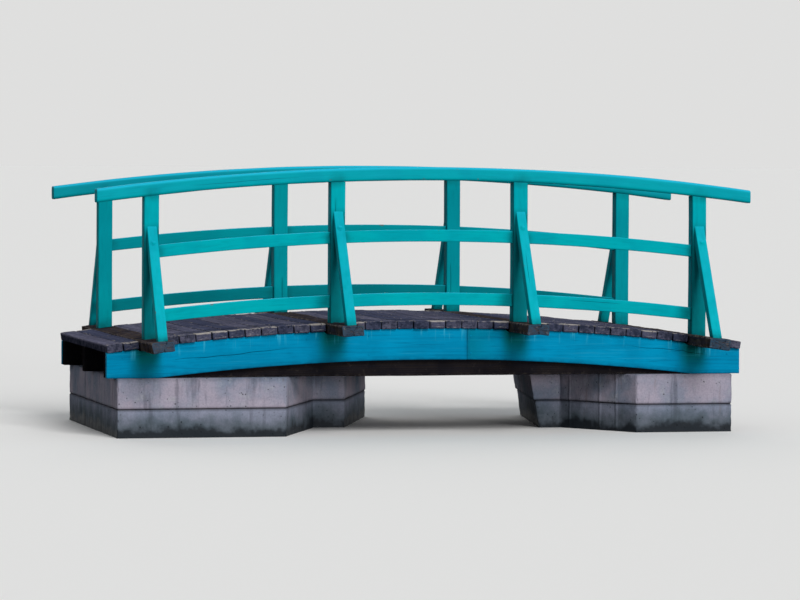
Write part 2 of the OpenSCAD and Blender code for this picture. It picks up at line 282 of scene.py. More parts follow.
def piece(name, parts, slot, finish=None):
    """Joins skins into one mesh with their grain coordinates and fields, and hangs it on the frame."""
    offset = np.cumsum([0] + [len(p["co"]) for p in parts])
    co = np.concatenate([p["co"] for p in parts])
    faces = []
    for p, o in zip(parts, offset):
        faces += (p["quads"] + o).tolist() + (p["tris"] + o).tolist()
    mesh = bpy.data.meshes.new(name)
    mesh.from_pydata(co.tolist(), [], faces)
    grain = mesh.attributes.new("timber", "FLOAT_VECTOR", "POINT")
    grain.data.foreach_set("vector", np.concatenate([p["grain"] for p in parts]).astype(np.float32).ravel())
    for key in parts[0]["values"]:
        layer = mesh.attributes.new(key, "FLOAT", "POINT")
        layer.data.foreach_set("value", np.concatenate([p["values"][key] for p in parts]).astype(np.float32))
    mesh.polygons.foreach_set("use_smooth", np.ones(len(faces), bool))
    mesh.set_sharp_from_angle(angle=math.radians(38))
    mesh.materials.append(material_of(finish or slot))
    mesh.update()
    obj = linked(name, mesh)
    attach(obj, "root")
    return obj


def dressed(node, parts, slot, kind="timber"):
    """Hangs parts on the frame in the place of a CAD node."""
    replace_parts(piece(f"{node}_{kind}", parts, slot), node)


def random_splits(rng, sides, count, start, end, depth, width=1.0, shortest=0.25, longest=0.6):
    """Drying splits along the grain, at random places on the given sides of the section. Their width is
    a share of the usual one, and their lengths are shares of the timber's."""
    made = []
    for side in rng.permutation(sides)[:count]:
        length = rng.uniform(shortest, longest) * (end - start)
        begin = rng.uniform(start - 0.1 * length, end - 0.9 * length)
        deep = depth * rng.uniform(0.6, 1.2)
        wide = sizes().split_width * width * rng.uniform(0.7, 1.3)
        made.append((int(side), rng.uniform(-0.45, 0.45), begin, begin + length, deep, wide))
    return made


def along_arch(radius, y, half_v, notches=(), foot=lambda low: low):
    """Line of an arched timber: s is x, u is across, and v is up from the middle of its depth. foot says
    where its underside runs instead of along the arc."""

    def place(s, u, v):
        low, high = foot(arc_z(radius - 2 * half_v, s)), arc_z(radius, s)
        for x in notches:
            high = high - NOTCH * (abs(s - x) < CROSSBEAM_HALF_W + 0.001)
        return s, y + u, low + (v + half_v) / (2 * half_v) * (high - low)

    return place


def on_deck(x):
    """Line of a board or crossbeam: s is y, u is along the bridge and v is square to the deck's bed."""
    tilt = math.atan(-x / math.sqrt(BED_RADIUS**2 - x * x))
    z = arc_z(BED_RADIUS, x)

    def place(s, u, v):
        return x + u * math.cos(tilt) - v * math.sin(tilt), s, z + u * math.sin(tilt) + v * math.cos(tilt)

    return place


# Materials


def add(tree, kind, inputs=(), out=0, **settings):
    """Adds a shader node with its settings, sets or links its inputs, which are given by name or else in
    their order, and gives one of its outputs."""
    node = tree.nodes.new("ShaderNode" + kind)
    for key, value in settings.items():
        setattr(node, key, value)
    for key, value in inputs.items() if isinstance(inputs, dict) else enumerate(inputs):
        if isinstance(value, bpy.types.NodeSocket):
            tree.links.new(value, node.inputs[key])
        else:
            node.inputs[key].default_value = value
    return node.outputs[out] if node.outputs else node


def new_material(name, specular):
    """Empty node material and the shader that everything feeds, with its strength of reflection."""
    material = bpy.data.materials.new(name)
    material.use_nodes = True
    tree = material.node_tree
    tree.nodes.clear()
    shader = add(tree, "BsdfPrincipled", {"Specular IOR Level": specular})
    add(tree, "OutputMaterial", {"Surface": shader})
    return material, tree, shader.node


def carried_value(tree, name):
    """A number that the mesh carries, such as how near a point is to an arris."""
    return add(tree, "Attribute", out="Fac", attribute_name=name)


def coats(tree, colour, *layers):
    """Finishes laid over each other in turn, each by its own amount from 0 to 1."""
    for amount, over in layers:
        # A Mix node's colours are its inputs 6 and 7 and its output 2
        colour = add(tree, "Mix", {0: amount, 6: colour, 7: over}, 2, data_type="RGBA")
    return colour


def summed(tree, *products):
    """Patterns added up, each times its own share."""
    total = 0.0
    for pattern, share in products:
        total = add(tree, "Math", (pattern, share, total), operation="MULTIPLY_ADD")
    return total


def wood_grain(tree, ring_spacing, streak_width):
    """Growth rings about the timber's own heart, and fine streaks drawn out along it."""
    at = add(tree, "Attribute", out="Vector", attribute_name="timber")
    drawn = add(tree, "VectorMath", (at, (0.1, 1, 1)), operation="MULTIPLY")
    # Real rings stand 2 to 6 mm apart and streaks are 1 to 2 mm wide. Both are drawn coarser, at 7 to 16
    # and 10 to 14 mm, so that they show. At scale 1 the rings stand 0.314 m apart
    rings = {"Vector": drawn, "Scale": 0.314 / ring_spacing}
    rings |= {"Distortion": 7, "Detail": 2, "Detail Scale": 0.13}
    rings = add(tree, "TexWave", rings, "Fac", wave_type="RINGS", rings_direction="X")
    streaks = {"Vector": drawn, "Scale": 1 / streak_width, "Detail": 4, "Roughness": 0.6}
    return rings, add(tree, "TexNoise", streaks)


def patches(tree, size, detail=3.0, roughness=0.55, stretch=(1, 1, 1)):
    """Cloudy patches of about this size in metres, fixed to the object and drawn out by stretch."""
    at = add(tree, "TexCoord", out="Object")
    at = add(tree, "VectorMath", (at, stretch), operation="MULTIPLY")
    cloud = {"Vector": at, "Scale": 1 / size, "Detail": detail, "Roughness": roughness}
    return add(tree, "TexNoise", cloud)


def open_to_sky(tree, low, high):
    """How far a surface faces up, from 0 at slope low to 1 at slope high."""
    normal = add(tree, "NewGeometry", out="Normal")
    z = add(tree, "SeparateXYZ", [normal], "Z")
    return add(tree, "MapRange", (z, low, high), **SOFT)


def feed(tree, shader, colour, roughness, height, depth):
    """Joins a finish's colour, roughness and relief, of this depth in metres, to its shader."""
    bump = add(tree, "Bump", {"Height": height, "Strength": 0.8, "Distance": depth})
    for key, value in (("Base Color", colour), ("Roughness", roughness), ("Normal", bump)):
        tree.links.new(value, shader.inputs[key])


def painted_softwood(name, palette):
    """Exterior oil paint brushed on planed softwood: a soft sheen, faint brush lines along the grain,
    real chalking with a painted sky reflection that makes it paler and bluer where it faces the sky, most
    of all along a handrail's top arrises, painted shade that makes it greener and darker where the tone
    field marks it, dirt with painted shade in the corners, painted shade in the splits, and worn through to
    grey wood at a few arrises."""
    coat, second, shaded, bloom, grime, bare, bare_dark, crevice = palette
    material, tree, shader = new_material(name, 0.006)
    rings, streaks = wood_grain(tree, 0.011, 0.012)
    cloud = patches(tree, 0.30)
    blot = patches(tree, 0.06, 4)
    thin = add(tree, "MapRange", (cloud, 0.38, 0.66), **SOFT)
    brushed = add(tree, "MapRange", (streaks, 0.44, 0.76, 0, 0.2), **SOFT)
    uneven = add(tree, "MapRange", (blot, 0.3, 0.64, 0.4, 1.0), **SOFT)
    # Real chalking and a painted sky reflection: paler and bluer on faces that look up, most of all along a
    # handrail's top arrises, which carry that painted sheen as a field
    up = summed(tree, (open_to_sky(tree, 0.25, 1.0), uneven))
    rubbed = summed(tree, (open_to_sky(tree, -0.2, 0.6), carried_value(tree, "handled")))
    up = add(tree, "Math", (up, rubbed), operation="MAXIMUM")
    # Dirt with painted shade: darker in the corners and joints that the field marks
    dirt = summed(tree, (carried_value(tree, "grime"), uneven))
    worn = summed(tree, (carried_value(tree, "arris"), 0.16), (blot, 1.0), (streaks, 0.42))
    worn = add(tree, "MapRange", (worn, 1.06, 1.12, 0, 0.85), **SOFT)
    wood = coats(tree, bare, (add(tree, "MapRange", (streaks, 0.35, 0.7)), bare_dark))
    # Painted shade inside the splits
    crack = summed(tree, (carried_value(tree, "crack"), 0.85))
    colour = coats(
        tree,
        coat,
        (thin, second),
        # Painted shade: greener and darker where the tone field marks it
        (carried_value(tree, "tone"), shaded),
        (brushed, grime),
        (up, bloom),
        (dirt, grime),
        (worn, wood),
        (crack, crevice),
    )
    rough = summed(tree, (streaks, 0.12), (up, 0.1), (worn, 0.3), (1.0, 0.46))
    feed(tree, shader, colour, rough, summed(tree, (streaks, 0.5), (rings, 0.3), (worn, -0.5)), 0.0012)
    return material


def worn_fascia_paint(name, palette):
    """The same paint, older and bluer. Long faint streaks follow the grain, rain off the deck has left
    pale drips just below the top edge, painted shade darkens the lower edge and the splits, and painted
    shadow makes it darker and greener under each crossbeam's end and on the right just past the joint."""
    coat, second, greener, pale, grime, bare, crevice = palette
    material, tree, shader = new_material(name, 0.006)
    rings, streaks = wood_grain(tree, 0.016, 0.010)
    cloud = patches(tree, 0.28)
    blot = patches(tree, 0.045, 4)
    drips = patches(tree, 1.0, 3, 0.6, (42, 3, 2.6))
    # Streaks about 12 mm high and 0.4 m long
    long_streaks = patches(tree, 1.0, 3, 0.6, (2.6, 4, 80))
    second_by = add(tree, "MapRange", (cloud, 0.34, 0.66), **SOFT)
    streaked = add(tree, "MapRange", (long_streaks, 0.5, 0.72, 0, 0.42), **SOFT)
    light = add(tree, "MapRange", (long_streaks, 0.28, 0.42, 0.16, 0), **SOFT)
    fine = add(tree, "MapRange", (streaks, 0.5, 0.76, 0, 0.3), **SOFT)
    drip = add(tree, "MapRange", (drips, 0.32, 0.44, 0.75, 0), **SOFT)
    drip = summed(tree, (carried_value(tree, "run"), drip))
    uneven = add(tree, "MapRange", (blot, 0.3, 0.62, 0.45, 1.0), **SOFT)
    # Painted shade along the lower edge, and the dark joint
    dirt = summed(tree, (carried_value(tree, "grime"), uneven))
    worn = summed(tree, (carried_value(tree, "arris"), 0.2), (blot, 0.75), (streaks, 0.8))
    worn = add(tree, "MapRange", (worn, 1.12, 1.2, 0, 0.8), **SOFT)
    # Painted shade inside the splits
    crack = summed(tree, (carried_value(tree, "crack"), 0.85))
    colour = coats(
        tree,
        coat,
        (second_by, second),
        # Painted shadow, darker and greener, under the crossbeams' ends and past the joint
        (carried_value(tree, "tone"), greener),
        (streaked, grime),
        (light, pale),
        (fine, grime),
        (drip, pale),
        (dirt, grime),
        (worn, bare),
        (crack, crevice),
    )
    rough = summed(tree, (streaks, 0.2), (worn, 0.25), (1.0, 0.42))
    feed(tree, shader, colour, rough, summed(tree, (streaks, 0.8), (rings, 0.3), (worn, -0.4)), 0.0014)
    return material


def weathered_boards(name, palette):
    """Bare boards gone grey-brown: raised grain, dark late wood, a few bleached spots where feet rub
    them, and black round the nails, with painted shade that blackens the splits, the sides between the
    boards and their ends."""
    first, second, pale, dark, damp, dirt, crevice = palette
    material, tree, shader = new_material(name, 0.0)
    rings, streaks = wood_grain(tree, 0.007, 0.010)
    blot = patches(tree, 0.075, 4)
    spots = patches(tree, 0.03, 3, 0.6)
    late = add(tree, "MapRange", (rings, 0.35, 1.0, 0, 0.42), **SOFT)
    lines = add(tree, "MapRange", (streaks, 0.44, 0.72, 0, 0.6), **SOFT)
    rubbed = summed(
        tree,
        (carried_value(tree, "rub"), 0.30),
        (spots, 0.6),
        (blot, 0.35),
        (streaks, -0.3),
        (carried_value(tree, "arris"), 0.07),
    )
    rubbed = add(tree, "MapRange", (rubbed, 0.45, 0.59, 0, 0.8), **SOFT)
    rubbed = summed(tree, (rubbed, open_to_sky(tree, 0.05, 0.7)))
    damp_by = add(tree, "MapRange", (blot, 0.5, 0.7, 0, 0.5), **SOFT)
    uneven = add(tree, "MapRange", (spots, 0.35, 0.62, 1.0, 0.5), **SOFT)
    # Dark round the nails, with painted shade between the boards and on their ends
    grime = summed(tree, (carried_value(tree, "grime"), uneven))
    # Painted shade inside the splits
    crack = summed(tree, (carried_value(tree, "crack"), 0.9))
    colour = coats(
        tree,
        first,
        (carried_value(tree, "tone"), second),
        (late, dark),
        (lines, dark),
        (damp_by, damp),
        (rubbed, pale),
        (grime, dirt),
        (crack, crevice),
    )
    rough = summed(tree, (streaks, 0.15), (rubbed, -0.12), (1.0, 0.78))
    feed(tree, shader, colour, rough, summed(tree, (streaks, 0.7), (rings, 0.7), (blot, 0.3)), 0.0025)
    return material


def rough_sawn_timber(name, palette):
    """Old rough-sawn baulks: saw marks across the grain, brown and dark with damp, greyer on their rubbed
    edges, nearly black with painted shade under the deck and in the splits, with a slate blue of painted
    sky light and growth rings on the sawn ends."""
    first, second, pale, dark, shaded, end_skylight, crevice = palette
    material, tree, shader = new_material(name, 0.0)
    rings, streaks = wood_grain(tree, 0.009, 0.014)
    blot = patches(tree, 0.11, 4)
    crumbs = patches(tree, 0.028, 4, 0.65)
    at = add(tree, "Attribute", out="Vector", attribute_name="timber")
    # Strokes 9 mm apart, as a large frame saw leaves them
    saw = add(tree, "TexWave", {"Vector": at, "Scale": 35, "Distortion": 2.2, "Detail": 1}, "Fac")
    patch = add(tree, "MapRange", (blot, 0.35, 0.65), **SOFT)
    lines = add(tree, "MapRange", (streaks, 0.42, 0.7, 0, 0.6), **SOFT)
    late = add(tree, "MapRange", (rings, 0.4, 1.0, 0, 0.5), **SOFT)
    grey = summed(tree, (crumbs, 0.85), (carried_value(tree, "arris"), 0.12))
    grey = add(tree, "MapRange", (grey, 0.5, 0.64, 0, 0.55), **SOFT)
    # Painted shade inside the splits
    crack = summed(tree, (carried_value(tree, "crack"), 0.9))
    colour = coats(
        tree,
        first,
        (patch, second),
        (lines, dark),
        (late, dark),
        (grey, pale),
        # Painted shade: nearly black under the deck
        (carried_value(tree, "grime"), shaded),
        # Painted sky light: slate blue on the sawn ends
        (carried_value(tree, "tone"), end_skylight),
        (crack, crevice),
    )
    rough = summed(tree, (streaks, 0.15), (1.0, 0.76))
    height = summed(tree, (streaks, 0.6), (rings, 0.6), (saw, 0.35), (crumbs, 0.8))
    feed(tree, shader, colour, rough, height, 0.003)
    return material


def old_concrete(name, palette):
    """Concrete cast between rough boards: a cloudy mauve grey with pale lime bloom, pores, faint board
    marks and rust-brown runs, a dark open joint, and a foot that stays wet and dark with a green edge.
    Painted shade darkens the pores, the top under the bearers and the whole lower lift."""
    first, second, bloom, stain, rusty, wet, algae = palette
    material, tree, shader = new_material(name, 0.06)
    cloud = patches(tree, 0.28, 4, 0.6)
    blot = patches(tree, 0.07, 5, 0.62)
    # Sand and laitance, drawn 11 mm across so that they show
    fine = patches(tree, 0.011, 3, 0.6)
    runs = patches(tree, 1.0, 4, 0.6, (16, 16, 2.2))
    at = add(tree, "TexCoord", out="Object")
    # Pores left by air, drawn 9 mm across so that they show, and darkened as painted shade
    pores = add(tree, "TexVoronoi", {"Vector": at, "Scale": 38, "Randomness": 1.0}, "Distance")
    pores = add(tree, "MapRange", (pores, 0.12, 0.2, 0.7, 0), **SOFT)
    some = add(tree, "MapRange", (blot, 0.5, 0.6), **SOFT)
    pores = summed(tree, (pores, some))
    height = add(tree, "SeparateXYZ", [at], "Z")
    level = summed(tree, (height, 1.0), (cloud, -0.16), (blot, -0.07))
    # Painted shade: the lower lift is darker and cooler all over, up to the joint
    low_by = add(tree, "MapRange", (height, 0.166, 0.176, 0.7, 0))
    cool = add(tree, "MapRange", (cloud, 0.36, 0.66), **SOFT)
    lime = add(tree, "MapRange", (blot, 0.5, 0.74, 0, 0.6), **SOFT)
    run = add(tree, "MapRange", (runs, 0.54, 0.72, 0, 0.5), **SOFT)
    rust = add(tree, "MapRange", (runs, 0.26, 0.38, 0.4, 0), **SOFT)
    gritty = add(tree, "MapRange", (fine, 0.35, 0.7, 0, 0.2), **SOFT)
    # The dark open joint, and painted shade along the top under the bearers
    soiled = summed(tree, (carried_value(tree, "grime"), 0.9))
    green = add(tree, "MapRange", (level, -0.05, 0.07, 0.7, 0), **SOFT)
    soaked = add(tree, "MapRange", (level, -0.085, -0.03, 0.9, 0), **SOFT)
    colour = coats(
        tree,
        first,
        (cool, second),
        (lime, bloom),
        (low_by, second),
        (run, stain),
        (rust, rusty),
        (gritty, stain),
        (green, algae),
        (soaked, wet),
        (soiled, wet),
        (pores, wet),
    )
    rough = summed(tree, (soaked, -0.42), (fine, 0.1), (1.0, 0.84))
    bumps = summed(tree, (blot, 0.6), (fine, 0.5), (pores, -1.7), (carried_value(tree, "board"), 1.0))
    feed(tree, shader, colour, rough, bumps, 0.003)
    return material


def rusted_steel(name, palette):
    """Wire nails long in the weather: brown rust, rough, with darker pits."""
    first, second = palette
    material, tree, shader = new_material(name, 0.5)
    blot = patches(tree, 0.006, 3)
    shader.inputs["Metallic"].default_value = 0.35
    pit = add(tree, "MapRange", (blot, 0.35, 0.65), **SOFT)
    rough = summed(tree, (blot, 0.3), (1.0, 0.5))
    feed(tree, shader, coats(tree, first, (pit, second)), rough, blot, 0.0006)
    return material


def measure(name, description, default):
    """A length that a user may change, in metres."""
    return bpy.props.FloatProperty(name=name, description=description, default=default, min=0, unit="LENGTH")


class FOOTBRIDGE_PG_sizes(bpy.types.PropertyGroup):
    arris: measure("Arris", "Radius of the eased edges of posts and rails", 0.005)
    handrail_arris: measure("Handrail arris", "Radius of the handrail's edges", 0.014)
    board_arris: measure("Board arris", "Radius of the worn edges of deck boards", 0.006)
    baulk_arris: measure("Baulk arris", "Radius of the edges of crossbeams and bearers", 0.007)
    split_width: measure("Split width", "Usual width of a drying split", 0.0035)
    cupping: measure("Cupping", "Hollow across the top of a deck board", 0.0015)
    walk_wear: measure("Walk wear", "Depth worn into the boards along the middle", 0.002)
    nail_head: measure("Nail head", "Diameter of a nail's head", 0.010)
    bolt_head: measure("Bolt head", "Diameter of a coach bolt's head", 0.026)


def tint(name, description, code):
    """A colour that a user may change, given as sRGB hex."""
    return bpy.props.FloatVectorProperty(
        name=name, description=description, subtype="COLOR", size=4, min=0, max=1, default=linear(code)
    )


class FOOTBRIDGE_PG_colours(bpy.types.PropertyGroup):
    coat: tint("Railing paint", "Turquoise of the railings", "#00A1AA")
    coat_second: tint("Railing paint, second tone", "Where the brush left it thinner", "#0096A3")
    # Painted shade, greener and darker, on the rear railing and behind the braces
    coat_sheltered: tint("Railing paint, sheltered", "Greener and darker on sheltered sides", "#036A72")
    # Chalking with a painted sky reflection, on faces that look up
    coat_bloom: tint("Railing paint, bloom", "Bluer where it faces the sky", "#22B2D0")
    # Dirt and algae, with painted shade, in the corners
    coat_grime: tint("Railing grime", "Dirt and algae in its corners", "#07585C")
    bare: tint("Bare wood", "Grey wood where paint is rubbed off", "#6E7670")
    bare_dark: tint("Bare wood, dark", "Late wood where paint is rubbed off", "#4C504C")
    # Painted shade inside a split in painted timber
    crevice: tint("Split, painted", "Inside a split in painted timber", "#042426")
    fascia: tint("Fascia paint", "Bluer turquoise of the fascias", "#0088B2")
    fascia_second: tint("Fascia paint, second tone", "Deeper patches", "#007CA4")
    # Painted shadow under the crossbeams' ends, darker and greener
    fascia_greener: tint("Fascia paint, greener", "Where it stays damp", "#005F5C")
    fascia_pale: tint("Fascia drips", "Pale drips under the deck's edge", "#3BA5C2")
    # Dark streaks and grain lines, and the painted shade of the lower edge
    fascia_grime: tint("Fascia grime", "Dark streaks and grain lines", "#04597A")
    board: tint("Deck boards", "Grey-brown of the boards", "#747286")
    board_second: tint("Deck boards, second tone", "Mauve grey of others", "#4F536C")
    board_pale: tint("Rubbed boards", "Cream grey where they are bleached", "#BDB4AA")
    board_dark: tint("Board grain", "Late wood and dirt", "#37384A")
    board_damp: tint("Damp boards", "Patches that dry last", "#3C4057")
    # Round the nails, with painted shade on the sides and ends of the boards
    board_dirt: tint("Board dirt", "Round the nails and on the sides", "#141C2A")
    # Painted shade inside a split in bare timber
    gap: tint("Split, bare", "Inside a split in bare timber", "#0B0B0F")
    baulk: tint("Baulks", "Brown of the crossbeams and bearers", "#564A43")
    baulk_second: tint("Baulks, second tone", "Darker, damper patches", "#332D2C")
    baulk_pale: tint("Baulks, rubbed", "Greyer wood on the edges", "#93877D")
    # Painted shade under the deck
    baulk_sheltered: tint("Baulks, sheltered", "Nearly black under the deck", "#100F12")
    # Painted sky light on the sawn ends
    baulk_end: tint("Baulk ends", "Slate bloom on the sawn ends", "#2B4A60")
    concrete: tint("Concrete", "Mauve grey of the abutments", "#A098A6")
    # Also the painted shade of the lower lift
    concrete_second: tint("Concrete, second tone", "Cooler grey patches", "#737E91")
    lime: tint("Lime bloom", "Pale lime on the concrete", "#A8A5AB")
    stain: tint("Stain", "Dirt run down the concrete", "#474A55")
    rust_run: tint("Rust run", "Brown run down the concrete", "#6B5B54")
    # Also the dark joint, and the painted shade of the pores and of the top under the bearers
    wet: tint("Wet foot", "Concrete soaked by the water", "#14181D")
    algae: tint("Algae", "Green edge above the wet foot", "#333F40")
    rust: tint("Rust", "Nail heads", "#4A3226")
    floor: tint("Floor", "Studio floor", "#F3F2F0")
    floor_shade: tint("Floor, as it lights the bridge", "Tone that the floor throws back", "#7E7E7E")


# Of each finish: its material's name, what makes that, and the colours it takes
FINISHES = {
    "railing_paint": (
        "brushed_turquoise_oil_paint",
        painted_softwood,
        "coat coat_second coat_sheltered coat_bloom coat_grime bare bare_dark crevice",
    ),
    "fascia_paint": (
        "worn_blue_turquoise_oil_paint",
        worn_fascia_paint,
        "fascia fascia_second fascia_greener fascia_pale fascia_grime bare crevice",
    ),
    "deck_boards": (
        "bare_boards_gone_grey",
        weathered_boards,
        "board board_second board_pale board_dark board_damp board_dirt gap",
    ),
    "old_timber": (
        "rough_sawn_damp_baulks",
        rough_sawn_timber,
        "baulk baulk_second baulk_pale board_dark baulk_sheltered baulk_end gap",
    ),
    "abutment_concrete": (
        "board_marked_concrete",
        old_concrete,
        "concrete concrete_second lime stain rust_run wet algae",
    ),
    "nails": ("rusted_wire_nails", rusted_steel, "rust board_dark"),
}


def sizes():
    """Lengths that a user may change."""
    return bpy.context.scene.footbridge_sizes


def colours():
    """Colours that a user may change."""
    return bpy.context.scene.footbridge_colours


def material_of(finish):
    """Material of a finish, made once from the scene's colours."""
    name, maker, keys = FINISHES[finish]
    made = bpy.data.materials.get(name)
    return made or maker(name, [getattr(colours(), key) for key in keys.split()])


def near_joint(points, reach):
    """Field that is 1 at any of the given places and fades to 0 at this reach."""
    points = np.array(points)
    return lambda co, s, u, v: fade(np.linalg.norm(co[:, None, :] - points[None], axis=2).min(1), reach)


def handrail(side, label):
    """Arched handrail: its section follows the arc, and its ends are cut plumb."""
    rng = np.random.default_rng(11 + side)
    splits = random_splits(rng, [0, 1, 2, 1], 3, -1.9, 1.9, 0.007, width=0.8, shortest=0.08, longest=0.2)
    heads_at = [(x, side * RAILING_Y, arc_z(HEAD_RADIUS, x)) for x in POST_X]
    part = timber(
        along_arch(HANDRAIL_TOP, side * RAILING_Y, HANDRAIL_H / 2),
        -HANDRAIL_END,
        HANDRAIL_END,
        (HANDRAIL_HALF_W, HANDRAIL_H / 2),
        21 + side,
        splits,
        ease=sizes().handrail_arris,
        gap=0.02,
        ends_ease=0.006,
        uneven=0.0007,
        uneven_size=0.35,
        dish=0.0005,
        pith=(0.02, -0.06),
        # Dirt with painted shade where the posts' heads meet it, painted shade that is heavier on the rear
        # handrail, and a painted sky sheen on its top arrises
        fields={"grime": near_joint(heads_at, 0.085), "tone": 0.2 if side < 0 else 0.6, "handled": 0.85},
    )
    dressed(f"handrail_{label}", [part], "railing_paint")


def rails(side, kind, label):
    """Middle or bottom rail: one arched length in each bay, tight between the posts."""
    radius, depth, tone = RAILS[kind]
    parts = []
    for bay in range(3):
        seed = 40 + bay * 5 + side + (2 if kind == "mid_rail" else 0)
        rng = np.random.default_rng(seed)
        # The ends run a millimetre into the posts
        start, end = POST_X[bay] + POST_HALF - 0.001, POST_X[bay + 1] - POST_HALF + 0.001
        splits = random_splits(rng, [0, 1, 2], 1, start, end, 0.005, width=0.7, shortest=0.2, longest=0.4)
        y = side * (RAILING_Y + rng.uniform(-0.0006, 0.0006))
        ends = [(x, y, arc_z(radius - depth / 2, x)) for x in (start, end)]
        part = timber(
            along_arch(radius, y, depth / 2),
            start,
            end,
            (RAIL_T / 2, depth / 2),
            seed,
            splits,
            ease=sizes().arris * 0.9,
            gap=0.016,
            ends_ease=0.001,
            uneven=0.0006,
            pith=(0.05 * side, rng.uniform(-0.05, 0.05)),
            # Dirt with painted shade near the posts, and painted shade on the rear rails
            fields={"grime": near_joint(ends, 0.06), "tone": tone if side > 0 else 0.0},
        )
        parts.append(part)
    dressed(f"{kind}_{label}", parts, "railing_paint")


def post(i, side, label):
    """Square post, plumb, its foot cut to the slope of the deck and its head to that of the handrail."""
    x, y = POST_X[i], side * RAILING_Y
    height = arc_z(HEAD_RADIUS, x) - arc_z(ARCH_RADIUS, x)
    seed = 60 + i * 3 + side
    rng = np.random.default_rng(seed)
    splits = random_splits(rng, [0, 1, 2, 3], 2, 0.05, height - 0.05, 0.010, shortest=0.2, longest=0.55)
    bow, lean = rng.uniform(-0.0015, 0.0015, 2)

    def place(s, u, v):
        low, high = arc_z(ARCH_RADIUS, x + u), arc_z(HEAD_RADIUS, x + u)
        share = s / height
        return x + u + bow * share * (1 - share) * 4, y + v + lean * share, low + share * (high - low)

    # Painted shadow of the brace on the post's outer face, below the brace's top
    def behind_brace(s, v):
        return np.clip((BRACE_TOP + 0.02 - s) / 0.06, 0, 1) * (side * v > 0)

    # Darker at the foot and the head, dirt with painted shade, and more painted shadow behind the brace
    def dirt(co, s, u, v):
        return np.maximum(np.maximum(fade(s, 0.07), fade(height - s, 0.04) * 0.7), 0.3 * behind_brace(s, v))

    # Painted shade: the brace's shadow, heavier on the front posts, and an overall painted shade on the rear
    # posts
    def shaded(co, s, u, v):
        return behind_brace(s, v) * (0.75 if side < 0 else 0.35) + (0.0 if side < 0 else 0.4)

    part = timber(
        place,
        0.0,
        height,
        (POST_HALF, POST_HALF),
        seed,
        splits,
        ease=sizes().arris * 1.1,
        gap=0.018,
        uneven=0.0006,
        pith=(0.01, 0.02),
        fields={"grime": dirt, "tone": shaded},
    )
    dressed(f"post_{label}_{i + 1}", [part], "railing_paint")


def brace_line(i, side):
    """Line of a brace: s runs down it from its plumb cut on the post to its cut on the crossbeam."""
    x = POST_X[i]
    length = math.hypot(BRACE_TOP, BRACE_REACH)
    drop = 2 * BRACE_HALF * length / BRACE_REACH

    def place(s, u, v):
        inward = (BRACE_HALF - v) / (2 * BRACE_HALF)
        deck = arc_z(ARCH_RADIUS, x + u)
        share = s / length
        top_z = arc_z(ARCH_RADIUS, x) + BRACE_TOP - inward * drop
        foot_y = BRACE_REACH - inward * drop * BRACE_REACH / BRACE_TOP
        y = side * (POST_FACE + share * foot_y)
        return x + u, y, top_z + share * (deck - top_z)

    return place, length


def brace(i, side, label):
    """Raking strut, a square section between the post's outer face and the crossbeam's end."""
    seed = 90 + i * 3 + side
    rng = np.random.default_rng(seed)
    place, length = brace_line(i, side)
    splits = random_splits(rng, [0, 1, 2], 1, 0.1, length, 0.007, width=0.8, longest=0.5)
    part = timber(
        place,
        0.0,
        length,
        (BRACE_HALF, BRACE_HALF),
        seed,
        splits,
        ease=sizes().arris,
        gap=0.015,
        uneven=0.0005,
        uneven_size=0.25,
        pith=(0.03, 0.02),
        # Dirt with painted shade towards the foot, where the brace meets the crossbeam
        fields={"grime": lambda co, s, u, v: fade(length - s, 0.06), "tone": 0.0},
    )
    dressed(f"brace_{label}_{i + 1}", [part], "railing_paint")


def fascia(half, side, label):
    """Arched fascia board in one of its two lengths, trimmed level over the abutment."""
    left, half_v = half == "left", FASCIA_DEPTH / 2
    seed = 120 + side + (4 if left else 0)
    rng = np.random.default_rng(seed)
    start, end = (-DECK_END, FASCIA_JOINT - 0.001) if left else (FASCIA_JOINT + 0.001, DECK_END)
    notches = [x for x in POST_X if start < x < end]
    splits = random_splits(rng, [0, 2], 2, start, end, 0.006, width=0.9, shortest=0.15, longest=0.35)
    set_back = 0.0 if left else 0.0016
    y = side * (FASCIA_FACE - FASCIA_T / 2 - set_back)
    base = along_arch(BED_RADIUS, y, half_v, notches, lambda low: np.maximum(low, BED_Z))

    def place(s, u, v):
        cup = 0.0012 * (v / half_v) ** 2 + 0.0012 * np.sin(s * 4.1 + seed)
        px, py, pz = base(s, u, v)
        return px, py - side * cup, pz

    def run_down(co, s, u, v):
        return fade(half_v - v, 0.075) ** 0.7

    # Painted shade along the lower edge, and a dark joint
    def dirt(co, s, u, v):
        return np.maximum(fade(v + half_v, 0.03) * 0.85, fade(abs(s - FASCIA_JOINT), 0.012) * 0.8)

    def damp(co, s, u, v):
        # Painted shadow, darker and greener, under a crossbeam's end and strongest near the top, and painted
        # shade on the right past the joint
        from_crossbeam = abs(s[:, None] + 0.03 - notches).min(1)
        high = np.clip(0.75 + v / FASCIA_DEPTH, 0.4, 1)
        past_joint = 0.0 if left else 0.42 * np.exp(-(((s - FASCIA_JOINT) / 0.2) ** 2))
        return np.maximum(0.95 * high * np.exp(-((from_crossbeam / 0.085) ** 4)), past_joint)

    part = timber(
        place,
        start,
        end,
        (FASCIA_T / 2, half_v),
        seed,
        splits,
        ease=sizes().arris * 0.8,
        gap=0.016,
        step=0.02,
        ends_ease=0.0025,
        notches=notches,
        uneven=0.0007,
        dish=0.0004,
        pith=(0.09 * side, 0.01),
        fields={"grime": dirt, "tone": damp, "run": run_down},
    )
    dressed(f"fascia_{label}_{half}", [part], "fascia_paint")


def board_edges():
    """Places along the bridge where boards meet each other or a crossbeam."""
    edges = [POST_X[0] - SEAT / 2 - n * BOARD_PITCH for n in (2, 1, 0)]
    for x, count in zip(POST_X, (11, 11, 11, 3)):
        edges += [x + SEAT / 2 + n * BOARD_PITCH for n in range(count)]
    return edges


